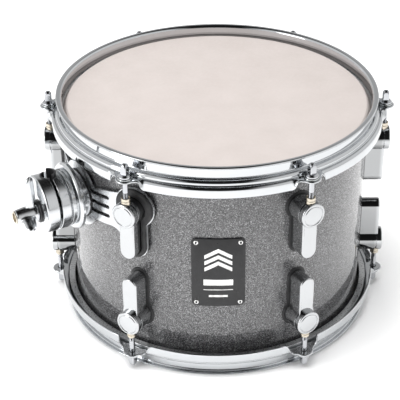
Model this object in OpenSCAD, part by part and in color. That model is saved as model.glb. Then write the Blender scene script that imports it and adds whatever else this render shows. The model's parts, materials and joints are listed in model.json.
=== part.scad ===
// Twelve-inch tom tom drum: a lacquered shell, two tensioned heads held by triple-flanged
// hoops, six lugs for each head, and an arm clamp hung from two of the lugs on rubber.
// Z is the drum axis. The origin is on that axis, on the plane of the lower rim.
// The badge faces -Y. Lengths are millimetres and angles are degrees about Z from +X.

/* [Shell] */
// Overall height from the lower rim to the upper rim
drum_h = 236; // [220:1:260]
// Outside radius of the shell
shell_r = 151.5; // [151:0.1:151.6]
// Thickness of the shell wall
shell_t = 6; // [5:0.5:8]
// Radius of the air vent
vent_r = 5; // [4:0.5:6]

/* [Heads] */
// Depth of each film below its rim
film_h = 10; // [9:0.5:11]
// Thickness of each film
film_t = 0.25; // [0.2:0.05:0.3]

/* [Tension] */
// Number of lugs for each head
lug_n = 6; // [6]
// Radius of the circle that the tension rods stand on
rod_circle_r = 170; // [169.5:0.5:170.5]
// Radius of a tension rod
rod_r = 2.75; // [2.5:0.05:3]
// Running clearance of a rod in its nut
rod_play = 0.05; // [0.02:0.01:0.1]
// Width of the square head across its flats
head_af = 6.35; // [6:0.05:7]
// Height of the square head
head_h = 10.5; // [8:0.5:12]

/* [Lugs] */
// Depth of a lug's boss axis below its rim
boss_depth = 56.5; // [54:0.5:60]
// Radius of a lug's boss
boss_r = 12.5; // [11:0.5:13]
// Distance from the boss axis to the end of the tail
tail_len = 49.5; // [44:0.5:51]
// Width of the tail
tail_w = 16; // [14:0.5:17]

/* [Badge] */
// Width of the badge around the shell
badge_w = 51; // [40:1:60]
// Height of the badge
badge_h = 77; // [60:1:84]
// Height of the badge centre above the lower rim
badge_z = 116.5; // [100:0.5:130]

/* [Clamp] */
// Angle of the clamp, halfway between two lugs
clamp_a = 210; // [210]
// Height of the wing nut's axis above the lower rim
clamp_z = 154; // [150:1:158]
// Height of the axis of the jaws and their foot, a little above the nut's
jaw_z = 161.5; // [156:0.5:163]
// Radius of the tom arm that the clamp holds
arm_r = 6.35; // [5:0.05:6.5]
// Distance from the drum axis to the tom arm
arm_x = 188; // [186:0.5:189]
// Radius of the two jaws
jaw_r = 29; // [27:0.5:30]
// Radius of the eye bolt's shank
bolt_r = 4; // [3.5:0.5:4]
// Running clearance of the wing nut on the eye bolt
nut_play = 0.06; // [0.02:0.01:0.1]

/* [Hidden] */
$fn = 96;
ring_fn = 240;
eps = 0.01;
skin = 0.05;
lug_angles = [for (k = [0:lug_n - 1]) k * 360 / lug_n];
hung_angles = [clamp_a - 30, clamp_a + 30];
badge_a = 270;
vent_a = 90;
mid_z = drum_h / 2;

// Depths below the rim: the ear plane, the crown of the skirt and its lower edge
ear_d = 18;
ear_t = 2.2;
skirt_d = 29;
wall_r = 155.5;
steel_t = 2;
crest_w = 2;
pocket_r = 160.8;
skirt_r = 165.2;
step_d = 15;
ear_tip_r = 9;
ear_half_w = 17;
ear_hole_r = 3.6;

// Bearing edge and the collar of the film
edge_r = 150.2;
collar_r = shell_r + 0.1;
flesh_r = 154;
flesh_w = 6.2;
flesh_h = 7;
film_end_d = 21;

// Hardware on the tension rods
washer_r = 7.2;
washer_t = 1.5;
collar_h = 3;
flange_r = 6;
nut_r = 4.5;
nut_up = 5.5;
nut_down = 8;
rod_down = 9;

// Distances of a lug's faces from the drum axis
gasket_t = 1;
lug_back = shell_r + gasket_t;
tail_front = 171.5;
cap_front = 176;
seam_x = 169.6;
seam_w = 0.9;
groove_d = 0.7;
boss_z = drum_h - boss_depth;
tail_r = tail_w / 2;
tail_c = tail_len - tail_r;
screw_drop = 30;
screw_r = 2.4;
screw_reach = 161;

// Hollow behind a lug's tail, which starts core_top below the boss axis
core_w = 9;
core_h = 10;
core_top = 14;
core_reach = 166;

// Isolators and bracket, as rings about the drum axis
pad_in = lug_back;
plate_in = 154.5;
plate_out = 156.5;
pad_out = 160;
pad_r = 20;
pad_w = 12.3;
web_r = 16.6;
web_w = 10;
frame_r = 19.6;
frame_w = 11.9;
arm_tilt = 6.7;
slot_r = 2.05;
slot_len = 27;
slot_pitch = 10;
slot_y = 34.2;
slot_z = 166.5;

// Clamp stations along its axis, from the drum axis outwards
base_r = 33.5;
base_core_r = 24;
base_pad_t = 1.2;
rim_x = 164.6;
face_x = 170.2;
ring_x = 175.5;
jaw_screw_z = 18;
jaw_gap = 1.3;
jaw_front = 201.6;
dish_r = 19.5;
seat_r = 12.5;
seat_x = 200.6;
seat_w = 1.5;
hub_x = seat_x + seat_w;
hub_end = 225.5;
sleeve_r = 8;
sleeve_h = 28.6;
sleeve_up = 4;
sleeve_step = 3;
eye_in = 8.1;
eye_out = 9.9;
eye_h = 8;
jaw_travel = 1.6;
wing_x = 212.5;
fin_reach = 40;
fin_t = 7;
low_wing_t = 5;
base_screw_r = 2.5;
base_screw_y = 15;

// Points on an arc, from angle a0 to angle a1
function arc(cx, cy, r, a0, a1, n = 12) =
  [for (i = [0:n]) [cx + r * cos(a0 + (a1 - a0) * i / n), cy + r * sin(a0 + (a1 - a0) * i / n)]];

// A profile drawn as radius against depth, moved to radius against height
function from_rim(points) = [for (p = points) [p[0], drum_h - p[1]]];

module to_lower_head() {
  translate([0, 0, drum_h]) mirror([0, 0, 1]) children();
}

module at_lug(k) {
  rotate([0, 0, lug_angles[k - 1]]) children();
}

module at_each_lug() {
  for (a = lug_angles) rotate([0, 0, a]) children();
}

// A ring about the drum axis, used to bend flat outlines round the shell
module ring(r_in, r_out, z_low, z_high) {
  difference() {
    translate([0, 0, z_low]) cylinder(h = z_high - z_low, r = r_out, $fn = ring_fn);
    translate([0, 0, z_low - 1]) cylinder(h = z_high - z_low + 2, r = r_in, $fn = ring_fn);
  }
}

// An outline drawn in Y and Z, pushed out along +X from x0 to x1
module push_x(x0, x1) {
  translate([x0, 0, 0]) rotate([90, 0, 90]) linear_extrude(height = x1 - x0) children();
}

// A round hole or post along +X
module post_x(x0, x1, z, r) {
  translate([x0, 0, z]) rotate([0, 90, 0]) cylinder(h = x1 - x0, r = r);
}

// A solid turned about the clamp axis, from radius against distance
module turned_x(z, points) {
  translate([0, 0, z]) rotate([0, 90, 0]) rotate_extrude() polygon(points);
}

// Round boss above a straight tail with a round end
module keyhole(r, half_w) {
  translate([0, boss_z]) circle(r = r);
  translate([-half_w, boss_z - tail_c]) square([2 * half_w, tail_c]);
  translate([0, boss_z - tail_c]) circle(r = half_w);
}

// ---- Shell ----

module shell_profile() {
  inner_r = shell_r - shell_t;
  edge_d = film_h + film_t;
  cut_d = edge_d + edge_r - 0.5 - inner_r;
  side_d = edge_d + shell_r - edge_r;
  polygon(concat(
    from_rim([[inner_r, cut_d], [edge_r - 0.5, edge_d], [edge_r, edge_d], [shell_r, side_d]]),
    [[shell_r, side_d], [edge_r, edge_d], [edge_r - 0.5, edge_d], [inner_r, cut_d]]
  ));
}

module lug_screw_holes() {
  at_each_lug() for (z = [boss_z, boss_z - screw_drop]) {
    post_x(shell_r - shell_t - 2, shell_r + 2, z, screw_r + 0.3);
  }
}

module shell() color([0.32, 0.33, 0.35]) difference() {
  rotate_extrude() shell_profile();
  lug_screw_holes();
  to_lower_head() lug_screw_holes();
  rotate([0, 0, vent_a]) post_x(shell_r - shell_t - 2, shell_r + 2, mid_z, vent_r + 1);
}

module vent_grommet() color("silver") rotate([0, 0, vent_a]) {
  inner_r = shell_r - shell_t;
  turned_x(mid_z, [
    [vent_r, inner_r - 1], [vent_r + 3.5, inner_r - 1], [vent_r + 3.5, inner_r - 0.2],
    [vent_r + 1 - skin, inner_r - 0.2], [vent_r + 1 - skin, shell_r + 0.2],
    [vent_r + 5, shell_r + 0.2], [vent_r + 4.6, shell_r + 1.2], [vent_r + 2, shell_r + 2.2],
    [vent_r, shell_r + 1.6]
  ]);
}

// ---- Badge ----

module badge_outline() {
  corner_r = 5;
  u = badge_w / 2 - corner_r;
  v = badge_h / 2 - corner_r;
  translate([0, badge_z]) polygon(concat(
    arc(u, v, corner_r, 0, 90, 8), arc(-u, v, corner_r, 90, 180, 8),
    arc(-u, -v, corner_r, 180, 270, 8), arc(u, -v, corner_r, 270, 360, 8)
  ));
}

module at_badge_corners() {
  inset = 4.5;
  for (y = [-1, 1], z = [-1, 1]) {
    translate([0, y * (badge_w / 2 - inset), z * (badge_h / 2 - inset)]) children();
  }
}

module badge() color([0.05, 0.05, 0.05]) rotate([0, 0, badge_a]) difference() {
  intersection() {
    ring(shell_r, shell_r + 1.6, 0, drum_h);
    push_x(shell_r - 10, shell_r + 5) badge_outline();
  }
  at_badge_corners() post_x(shell_r - 12, shell_r + 6, badge_z, 1.2);
}

module badge_rivets() color("silver") rotate([0, 0, badge_a]) {
  drop = shell_r - sqrt(shell_r * shell_r - pow(badge_w / 2 - 4.5, 2));
  at_badge_corners() turned_x(badge_z, [
    [0, shell_r - drop + 0.9], [1.15, shell_r - drop + 0.9], [1.15, shell_r - drop + 2.3],
    [2.4, shell_r - drop + 2.3], [2, shell_r - drop + 3], [0, shell_r - drop + 3.3]
  ]);
}

// ---- Heads and hoops ----

module film() {
  rotate_extrude() polygon(from_rim([
    [0, film_h], [edge_r, film_h], [collar_r + film_t, film_h + 1.6],
    [collar_r + film_t, film_h + 2.6], [flesh_r, film_h + 6.5], [flesh_r, film_end_d],
    [flesh_r - film_t, film_end_d], [flesh_r - film_t, film_h + 6.6],
    [collar_r, film_h + 2.7], [collar_r, film_h + 1.6],
    [edge_r + 0.1, film_h + film_t], [0, film_h + film_t]
  ]));
}

module flesh_hoop() {
  rotate_extrude() polygon(from_rim([
    [flesh_r + 1.5, step_d], [flesh_r + flesh_w, step_d], [flesh_r + flesh_w, step_d + flesh_h],
    [flesh_r, step_d + flesh_h], [flesh_r, step_d + 1.6]
  ]));
}

// Rolled lip, wall, step over the flesh hoop, pocket wall and turned-down skirt
module hoop_profile() {
  out_r = wall_r + steel_t;
  polygon(from_rim(concat(
    [[out_r - 0.1, 0], [out_r - 0.1 + crest_w, 0]],
    arc(out_r + 2.7, 1.3, 1.3, 270, 450, 8),
    arc(out_r + 1.6, 4.2, 1.6, 270, 180, 6),
    arc(out_r + 1.6, 11.4, 1.6, 180, 90, 6),
    arc(pocket_r + 0.3, 14.7, 1.7, 270, 360, 6),
    arc(pocket_r + 4, 17, 2, 180, 90, 6),
    arc(skirt_r - 1.4, 22.4, 3.4, 270, 360, 6),
    [[skirt_r + steel_t, skirt_d], [skirt_r, skirt_d]],
    arc(skirt_r - 1.4, 22.4, 1.4, 360, 270, 4),
    arc(pocket_r + 2.6, 18.4, 2.6, 90, 180, 4),
    [[pocket_r, step_d], [wall_r + 1.5, step_d], [wall_r, step_d - 1.5]],
    arc(out_r - 0.1, 1.9, 1.9, 180, 270, 6)
  )));
}

// Flat ear at a tension rod, where the skirt is cut away
module ear_outline() {
  tip_x = rod_circle_r;
  polygon(concat(
    [[pocket_r + 0.6, -ear_half_w], [pocket_r + 5, -ear_half_w]],
    arc(tip_x, 0, ear_tip_r, -70, 70, 14),
    [[pocket_r + 5, ear_half_w], [pocket_r + 0.6, ear_half_w]]
  ));
}

module hoop() {
  difference() {
    union() {
      difference() {
        rotate_extrude() hoop_profile();
        at_each_lug() translate([pocket_r + steel_t - 0.6, -ear_half_w, drum_h - skirt_d - 1])
          cube([20, 2 * ear_half_w, skirt_d + 1 - ear_d + eps]);
        at_each_lug() translate([pocket_r - 3, -ear_half_w, drum_h - skirt_d - 1])
          cube([20, 2 * ear_half_w, skirt_d + 1 - ear_d - ear_t]);
      }
      at_each_lug() translate([0, 0, drum_h - ear_d - ear_t])
        linear_extrude(height = ear_t) ear_outline();
    }
    at_each_lug() translate([rod_circle_r, 0, drum_h - ear_d - ear_t - 1])
      cylinder(h = ear_t + 2, r = ear_hole_r);
  }
}

module batter_film() color([0.88, 0.86, 0.83]) film();
module resonant_film() color([0.88, 0.88, 0.88]) to_lower_head() film();
module batter_flesh_hoop() color([0.75, 0.75, 0.76]) flesh_hoop();
module resonant_flesh_hoop() color([0.75, 0.75, 0.76]) to_lower_head() flesh_hoop();
module batter_hoop() color("silver") hoop();
module resonant_hoop() color("silver") to_lower_head() hoop();

// ---- Tension rods ----

module tension_rod(k) color([0.8, 0.8, 0.82]) at_lug(k) {
  seat_z = drum_h - ear_d + washer_t;
  tip_z = boss_z - rod_down;
  square_z = seat_z + collar_h;
  translate([rod_circle_r, 0, 0]) {
    translate([0, 0, tip_z]) cylinder(h = seat_z - tip_z + 1, r = rod_r);
    translate([0, 0, seat_z]) rotate_extrude() polygon([
      [0, 0], [flange_r, 0], [flange_r, collar_h * 0.6], [flange_r - 1.4, collar_h + 0.5],
      [0, collar_h + 0.5]
    ]);
    intersection() {
      translate([-head_af / 2, -head_af / 2, square_z]) cube([head_af, head_af, head_h]);
      translate([0, 0, square_z]) rotate_extrude() polygon(concat(
        [[0, 0], [head_af, 0]],
        [[head_af, head_h - 3], [head_af / 2, head_h - 0.4], [0, head_h]]
      ));
    }
  }
}

module rod_washers() {
  at_each_lug() translate([rod_circle_r, 0, drum_h - ear_d]) difference() {
    cylinder(h = washer_t, r = washer_r);
    translate([0, 0, -1]) cylinder(h = washer_t + 2, r = rod_r + 0.5);
  }
}

module batter_rod_washers() color("silver") rod_washers();
module resonant_rod_washers() color("silver") to_lower_head() rod_washers();

// ---- Lugs ----

module lug_body() {
  intersection() {
    union() {
      turned_x(boss_z, [
        [0, lug_back - 4], [boss_r, lug_back - 4], [boss_r, seam_x],
        [boss_r - groove_d, seam_x], [boss_r - groove_d, seam_x + seam_w],
        [boss_r, seam_x + seam_w], [boss_r, cap_front - 1], [boss_r - 0.9, cap_front - 0.1],
        [boss_r - 2.2, cap_front], [boss_r - 2.4, cap_front - 0.5],
        [boss_r - 3, cap_front - 0.5], [boss_r - 3.4, cap_front], [0, cap_front + 0.3]
      ]);
      push_x(lug_back - 4, tail_front - 1) translate([-tail_r, boss_z - tail_c])
        square([tail_w, tail_c]);
      push_x(lug_back - 4, tail_front) translate([1 - tail_r, boss_z - tail_c])
        square([tail_w - 2, tail_c]);
      turned_x(boss_z - tail_c, [
        [0, lug_back - 4], [tail_r, lug_back - 4], [tail_r, tail_front - 1],
        [tail_r - 1, tail_front], [0, tail_front]
      ]);
    }
    ring(lug_back, cap_front + 20, 0, drum_h);
  }
}

module lug() {
  difference() {
    lug_body();
    translate([rod_circle_r, 0, boss_z - nut_down]) cylinder(h = nut_down + 30, r = nut_r + skin);
    translate([rod_circle_r, 0, boss_z - rod_down - 2]) cylinder(h = 30, r = rod_r + 0.7);
    for (z = [boss_z, boss_z - screw_drop]) post_x(lug_back - 5, screw_reach, z, screw_r);
    translate([lug_back - 5, -core_w / 2, boss_z - core_top - core_h])
      cube([core_reach - lug_back + 5, core_w, core_h]);
  }
}

module lug_nuts() {
  at_each_lug() translate([rod_circle_r, 0, boss_z]) difference() {
    rotate_extrude() polygon([
      [0, -nut_down], [nut_r, -nut_down], [nut_r, boss_r + nut_up - 0.6],
      [nut_r - 0.6, boss_r + nut_up], [0, boss_r + nut_up]
    ]);
    translate([0, 0, -nut_down - 1]) cylinder(h = nut_down + boss_r + nut_up + 2, r = rod_r + rod_play);
  }
}

module batter_lug(k) color("silver") at_lug(k) lug();
module resonant_lug(k) color("silver") to_lower_head() at_lug(k) lug();
module batter_lug_nuts() color([0.85, 0.72, 0.45]) lug_nuts();
module resonant_lug_nuts() color([0.85, 0.72, 0.45]) to_lower_head() lug_nuts();

module gasket_set() {
  rim = 2.4;
  at_each_lug() difference() {
    intersection() {
      ring(shell_r, lug_back, 0, drum_h);
      push_x(shell_r - 8, shell_r + 4) keyhole(boss_r + rim, tail_r + rim);
    }
    for (z = [boss_z, boss_z - screw_drop]) post_x(shell_r - 5, shell_r + 5, z, screw_r + 0.3);
  }
}

module lug_gaskets() color([0.08, 0.08, 0.08]) {
  gasket_set();
  to_lower_head() gasket_set();
}

// Screws come from inside the shell and end in the lug casting
module screw_set() {
  inner_r = shell_r - shell_t;
  at_each_lug() for (z = [boss_z, boss_z - screw_drop]) turned_x(z, [
    [0, inner_r - 4.6], [3.4, inner_r - 4.2], [4.4, inner_r - 1.4], [screw_r - skin, inner_r - 1.4],
    [screw_r - skin, screw_reach - 1.5], [screw_r - 1, screw_reach - 0.5], [0, screw_reach - 0.5]
  ]);
}

module lug_screws() color([0.6, 0.6, 0.62]) {
  screw_set();
  to_lower_head() screw_set();
}

module screw_washer_set() {
  inner_r = shell_r - shell_t;
  at_each_lug() for (z = [boss_z, boss_z - screw_drop]) turned_x(z, [
    [screw_r + 0.3, inner_r - 1.4], [7, inner_r - 1.4], [7, inner_r - 0.3],
    [screw_r + 0.3, inner_r - 0.3]
  ]);
}

module lug_screw_washers() color([0.7, 0.7, 0.72]) {
  screw_washer_set();
  to_lower_head() screw_washer_set();
}

// ---- Suspension bracket ----

// Rubber frame round a lug's foot, with a groove that holds the bracket's plate
module isolator(a) color([0.06, 0.06, 0.06]) rotate([0, 0, a]) difference() {
  union() {
    intersection() {
      ring(pad_in, plate_in - skin, 0, drum_h);
      push_x(pad_in - 8, pad_out + 4) keyhole(pad_r, pad_w);
    }
    intersection() {
      ring(plate_in - 1, plate_out + 1, 0, drum_h);
      push_x(pad_in - 8, pad_out + 4) keyhole(web_r - skin, web_w - skin);
    }
    intersection() {
      ring(plate_out + skin, pad_out, 0, drum_h);
      push_x(pad_in - 8, pad_out + 4) keyhole(pad_r, pad_w);
    }
  }
  push_x(pad_in - 9, pad_out + 5) keyhole(boss_r + skin, tail_r + skin);
}

module mount_isolator_left() isolator(hung_angles[0]);
module mount_isolator_right() isolator(hung_angles[1]);

// One arm of the bracket, seen along the clamp axis, with a fillet against the lug frame
module bracket_arm() {
  fillet_r = 12;
  fillet_y = 52.5;
  low_z = 149;
  polygon(concat(
    [[0, 178], [22, 179], [62, 189.5], [76, 200], [76, 160], [fillet_y + fillet_r + 3, 137]],
    arc(fillet_y, low_z - fillet_r, fillet_r, 0, 90, 8),
    [[30, 146], [18, 134], [0, 132]]
  ));
}

module bracket_slot(row) {
  translate([slot_y, slot_z + row * slot_pitch]) rotate(arm_tilt) {
    translate([-slot_len / 2, -slot_r]) square([slot_len, 2 * slot_r]);
    for (y = [-slot_len / 2, slot_len / 2]) translate([y, 0]) circle(r = slot_r);
  }
}

module bracket_flat() {
  translate([0, jaw_z]) circle(r = base_r - 1);
  for (side = [0, 1]) mirror([side, 0]) difference() {
    bracket_arm();
    for (row = [-1, 0, 1]) bracket_slot(row);
  }
}

module mount_bracket() color("silver") difference() {
  intersection() {
    ring(plate_in, plate_out, 0, drum_h);
    union() {
      rotate([0, 0, clamp_a]) push_x(100, 170) bracket_flat();
      for (a = hung_angles) rotate([0, 0, a]) push_x(140, 170) keyhole(frame_r, frame_w);
    }
  }
  for (a = hung_angles) rotate([0, 0, a]) push_x(130, 180) keyhole(web_r, web_w);
  rotate([0, 0, clamp_a]) for (y = [-1, 1]) translate([0, y * base_screw_y, 0])
    post_x(140, 170, jaw_z, base_screw_r + 0.3);
}

// ---- Clamp, drawn facing +X and turned to its place ----

module at_clamp() {
  rotate([0, 0, clamp_a]) children();
}

module clamp_base_pad() color([0.06, 0.06, 0.06]) at_clamp() difference() {
  intersection() {
    ring(plate_out, plate_out + base_pad_t, 0, drum_h);
    post_x(140, rim_x, jaw_z, base_core_r + 0.6);
  }
  for (y = [-1, 1]) translate([0, y * base_screw_y, 0])
    post_x(140, 170, jaw_z, base_screw_r + 0.3);
}

// Round foot on a smaller core, whose back is curved to the pad, and the neck that carries the jaws
module clamp_base() color("silver") at_clamp() difference() {
  union() {
    intersection() {
      turned_x(jaw_z, [
        [0, 140], [base_core_r, 140], [base_core_r, rim_x], [base_r - 0.4, rim_x], [base_r, rim_x + 0.4],
        [base_r, rim_x + 2.6], [base_r - 1.2, face_x - 0.6], [base_r - 2, face_x], [0, face_x]
      ]);
      ring(plate_out + base_pad_t, face_x + 50, 0, drum_h);
    }
    turned_x(jaw_z, [
      [0, face_x - 1], [jaw_r - 2, face_x - 1], [jaw_r - 2, face_x + 0.8],
      [jaw_r - 0.6, face_x + 1.6], [jaw_r - 0.6, ring_x], [0, ring_x]
    ]);
  }
  for (y = [-1, 1]) translate([0, y * base_screw_y, 0])
    post_x(140, face_x - 0.4, jaw_z, base_screw_r);
  for (z = [-1, 1]) post_x(ring_x - 8, ring_x + 1, jaw_z + z * jaw_screw_z, base_screw_r);
}

module clamp_base_screws() color([0.6, 0.6, 0.62]) at_clamp() {
  reach = plate_in * cos(asin(base_screw_y / plate_in));
  for (y = [-1, 1]) translate([0, y * base_screw_y, 0]) turned_x(jaw_z, [
    [0, reach - 2.4], [4, reach - 2.4], [4.4, reach - 0.8], [base_screw_r - skin, reach - 0.8],
    [base_screw_r - skin, face_x - 1], [0, face_x - 1]
  ]);
}

// Space that the eye bolt needs between the jaws, as long as the jaw's travel
module eye_outline(r) {
  circle(r = r);
  translate([0, -r]) square([jaw_travel, 2 * r]);
  translate([jaw_travel, 0]) circle(r = r);
}

module eye_space(play) {
  translate([arm_x, 0, clamp_z - eye_h / 2 - play])
    linear_extrude(height = eye_h + 2 * play) eye_outline(eye_out + play);
}

module sleeve_space() {
  translate([arm_x, 0, 0]) cylinder(h = drum_h, r = sleeve_r + skin);
}

module clamp_inner_jaw() color("silver") at_clamp() difference() {
  turned_x(jaw_z, [
    [0, ring_x], [jaw_r - 4, ring_x], [jaw_r - 4, ring_x + 1.4], [jaw_r - 0.6, ring_x + 1.4],
    [jaw_r, ring_x + 2], [jaw_r, arm_x - jaw_gap - 0.5], [jaw_r - 0.5, arm_x - jaw_gap],
    [0, arm_x - jaw_gap]
  ]);
  sleeve_space();
  eye_space(0.4);
  for (z = [-1, 1]) {
    post_x(ring_x - 1, arm_x, jaw_z + z * jaw_screw_z, base_screw_r + 0.3);
    post_x(ring_x + 3, arm_x, jaw_z + z * jaw_screw_z, 4.6);
  }
}

module clamp_jaw_screws() color([0.6, 0.6, 0.62]) at_clamp() {
  for (z = [-1, 1]) turned_x(jaw_z + z * jaw_screw_z, [
    [0, ring_x - 7], [base_screw_r - skin, ring_x - 7], [base_screw_r - skin, ring_x + 3],
    [4.3, ring_x + 3], [4.3, ring_x + 3.8], [0, ring_x + 3.8]
  ]);
}

// The outer jaw is dished round the seat of the wing nut
module clamp_outer_jaw() color("silver") at_clamp() difference() {
  turned_x(jaw_z, concat(
    [[0, arm_x + jaw_gap], [jaw_r - 0.5, arm_x + jaw_gap], [jaw_r, arm_x + jaw_gap + 0.5]],
    arc(jaw_r - 2, jaw_front - 2, 2, 0, 90, 6),
    [[0, jaw_front]]
  ));
  turned_x(clamp_z, [[0, seat_x], [seat_r, seat_x], [dish_r, jaw_front + eps], [0, jaw_front + eps]]);
  sleeve_space();
  eye_space(0.4);
  post_x(arm_x, seat_x + 1, clamp_z, bolt_r + 0.5);
}

module clamp_eye_bolt() color([0.7, 0.7, 0.72]) at_clamp() {
  difference() {
    union() {
      eye_space(0);
      post_x(arm_x + eye_in + jaw_travel + 0.5, hub_end - 3, clamp_z, bolt_r);
    }
    translate([arm_x, 0, clamp_z - eye_h]) linear_extrude(height = 2 * eye_h) eye_outline(eye_in);
  }
}

// Tube that lines the arm's hole; each sleeve keeps the half on its own side
module sleeve_tube(top) {
  translate([arm_x, 0, jaw_z - sleeve_h]) difference() {
    cylinder(h = sleeve_h + top, r = sleeve_r);
    translate([0, 0, -1]) cylinder(h = sleeve_h + top + 2, r = arm_r);
  }
}

module clamp_inner_sleeve() color([0.05, 0.05, 0.05]) at_clamp() intersection() {
  sleeve_tube(sleeve_h + sleeve_up);
  translate([arm_x - jaw_gap - 20, -20, 0]) cube([20, 40, drum_h]);
}

module clamp_outer_sleeve() color([0.05, 0.05, 0.05]) at_clamp() intersection() {
  sleeve_tube(sleeve_h + sleeve_up - sleeve_step);
  translate([arm_x + jaw_gap, -20, 0]) cube([20, 40, drum_h]);
}

module clamp_seat_washer() color([0.07, 0.07, 0.07]) at_clamp() turned_x(clamp_z, [
  [bolt_r + 0.5, seat_x], [seat_r - 1, seat_x], [seat_r - 1, seat_x + 0.8],
  [seat_r - 2, seat_x + seat_w],
  [bolt_r + 0.5, seat_x + seat_w]
]);

// ---- Wing nut ----

// One wing of the nut, flat in a plane through the clamp axis
module at_wing(turn, thick) {
  translate([0, 0, clamp_z]) rotate([turn, 0, 0]) translate([0, thick / 2, 0])
    rotate([90, 0, 0]) linear_extrude(height = thick) children();
}

// Tall fin that stands close to the outer jaw and clears it as the nut turns
module fin_outline() {
  tip_r = 5;
  polygon(concat(
    [[hub_x + 3.5, 4], [jaw_front + 1.4, 14], [jaw_front + 1.4, 28]],
    arc(wing_x - 4.7, fin_reach - tip_r, tip_r, 170, 20, 10),
    [[wing_x + 0.5, 22], [wing_x + 0.5, 4]]
  ));
}

// Low wing, wide at the hub, with its tip leaning along the clamp axis
module low_outline(lean, reach) {
  tip_x = wing_x + lean;
  tip_r = 6;
  translate([tip_x, reach - tip_r]) circle(r = tip_r);
  polygon([
    [tip_x - tip_r, reach - tip_r], [wing_x - 6, 4], [wing_x + 9, 4],
    [tip_x + tip_r, reach - tip_r]
  ]);
}

module wing_nut() color("silver") at_clamp() difference() {
  union() {
    turned_x(clamp_z, [
      [0, hub_x], [9.4, hub_x], [9.6, hub_x + 2], [8.6, hub_x + 4], [7, hub_end - 1], [0, hub_end - 1]
    ]);
    at_wing(0, fin_t) fin_outline();
    at_wing(-100, low_wing_t) low_outline(4, 25);
    at_wing(110, low_wing_t) low_outline(0, 18);
  }
  post_x(hub_x - 1, hub_end + 1, clamp_z, bolt_r + nut_play);
  post_x(hub_end - 7, hub_end + 1, clamp_z, 5.8);
}

module wing_nut_insert() color([0.8, 0.66, 0.38]) at_clamp() turned_x(clamp_z, [
  [bolt_r + nut_play, hub_end - 7], [5.8 - skin, hub_end - 7], [5.8 - skin, hub_end - 0.9],
  [6.4, hub_end - 0.9], [6.2, hub_end], [bolt_r + nut_play, hub_end]
]);

// ---- Assembly ----

shell();
vent_grommet();
badge();
badge_rivets();
batter_film();
batter_flesh_hoop();
batter_hoop();
resonant_film();
resonant_flesh_hoop();
resonant_hoop();
for (k = [1:lug_n]) {
  tension_rod(k);
  to_lower_head() tension_rod(k);
  batter_lug(k);
  resonant_lug(k);
}
batter_rod_washers();
resonant_rod_washers();
batter_lug_nuts();
resonant_lug_nuts();
lug_gaskets();
lug_screws();
lug_screw_washers();
mount_isolator_left();
mount_isolator_right();
mount_bracket();
clamp_base_pad();
clamp_base();
clamp_base_screws();
clamp_inner_jaw();
clamp_jaw_screws();
clamp_eye_bolt();
clamp_inner_sleeve();
clamp_outer_jaw();
clamp_outer_sleeve();
clamp_seat_washer();
wing_nut();
wing_nut_insert();
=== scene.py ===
"""Twelve-inch tom tom drum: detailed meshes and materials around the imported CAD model.

Sizes are in millimetres until build() turns them into metres. Parts on the clamp are drawn facing +X
and turned to the clamp's angle, and parts of the lower head are the upper ones mirrored.
"""

import json
from math import asin, atan2, cos, degrees, hypot, pi, radians, sin, sqrt, tan

import bmesh
import bpy
from mathutils import Matrix, Vector


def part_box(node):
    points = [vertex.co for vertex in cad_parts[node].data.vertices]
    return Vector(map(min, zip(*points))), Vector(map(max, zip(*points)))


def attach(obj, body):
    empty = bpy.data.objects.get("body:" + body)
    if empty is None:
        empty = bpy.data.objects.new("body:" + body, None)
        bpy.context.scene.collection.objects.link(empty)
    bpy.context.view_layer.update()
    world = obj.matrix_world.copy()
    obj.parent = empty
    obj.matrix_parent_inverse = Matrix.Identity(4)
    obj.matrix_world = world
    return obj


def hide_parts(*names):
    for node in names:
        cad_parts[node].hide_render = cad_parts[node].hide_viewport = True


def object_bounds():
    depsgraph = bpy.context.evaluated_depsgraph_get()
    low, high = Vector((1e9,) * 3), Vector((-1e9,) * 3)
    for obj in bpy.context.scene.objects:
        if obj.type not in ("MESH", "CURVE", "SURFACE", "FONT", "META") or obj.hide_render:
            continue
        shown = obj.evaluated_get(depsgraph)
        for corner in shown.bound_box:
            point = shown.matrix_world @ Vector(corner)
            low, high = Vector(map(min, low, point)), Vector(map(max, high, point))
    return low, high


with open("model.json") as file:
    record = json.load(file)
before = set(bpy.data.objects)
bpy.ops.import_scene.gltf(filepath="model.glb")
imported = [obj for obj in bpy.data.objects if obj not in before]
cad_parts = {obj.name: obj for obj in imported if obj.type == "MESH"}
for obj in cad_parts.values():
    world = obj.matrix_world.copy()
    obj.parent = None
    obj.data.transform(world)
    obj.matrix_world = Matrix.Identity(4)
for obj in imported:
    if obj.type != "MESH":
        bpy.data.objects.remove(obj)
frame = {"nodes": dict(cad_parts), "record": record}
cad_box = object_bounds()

MM = 0.001


def box_mm(node):
    low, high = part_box(node)
    return low / MM, high / MM


# ---- Sizes read from the frame ----
DRUM_H = (cad_box[1].z - cad_box[0].z) / MM
SHELL_R = box_mm("shell")[1].x
ROD_R = sum(corner.x for corner in box_mm("batter_rod_1")) / 2
LUG_BACK = SHELL_R + 1
LUG_TOP = box_mm("batter_lug_1")[1].z
LUG_END = box_mm("batter_lug_1")[0].z
CAP_FRONT = box_mm("batter_lug_1")[1].x
BOSS_R = box_mm("batter_lug_1")[1].y
BOSS_Z = LUG_TOP - BOSS_R
TAIL_R = 8
TAIL_C = BOSS_Z - LUG_END - TAIL_R
TAIL_FRONT = CAP_FRONT - 4.8
EAR_Z = box_mm("batter_rod_washers")[0].z
WASHER_TOP = box_mm("batter_rod_washers")[1].z
ROD_TOP = box_mm("batter_rod_1")[1].z
ROD_END = box_mm("batter_rod_1")[0].z
NUT_TOP = box_mm("batter_lug_nuts")[1].z
NUT_END = box_mm("batter_lug_nuts")[0].z
BADGE_LOW, BADGE_HIGH = box_mm("badge")
PLATE_IN = 154.5
PLATE_OUT = 156.5
PAD_OUT = 160

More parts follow.
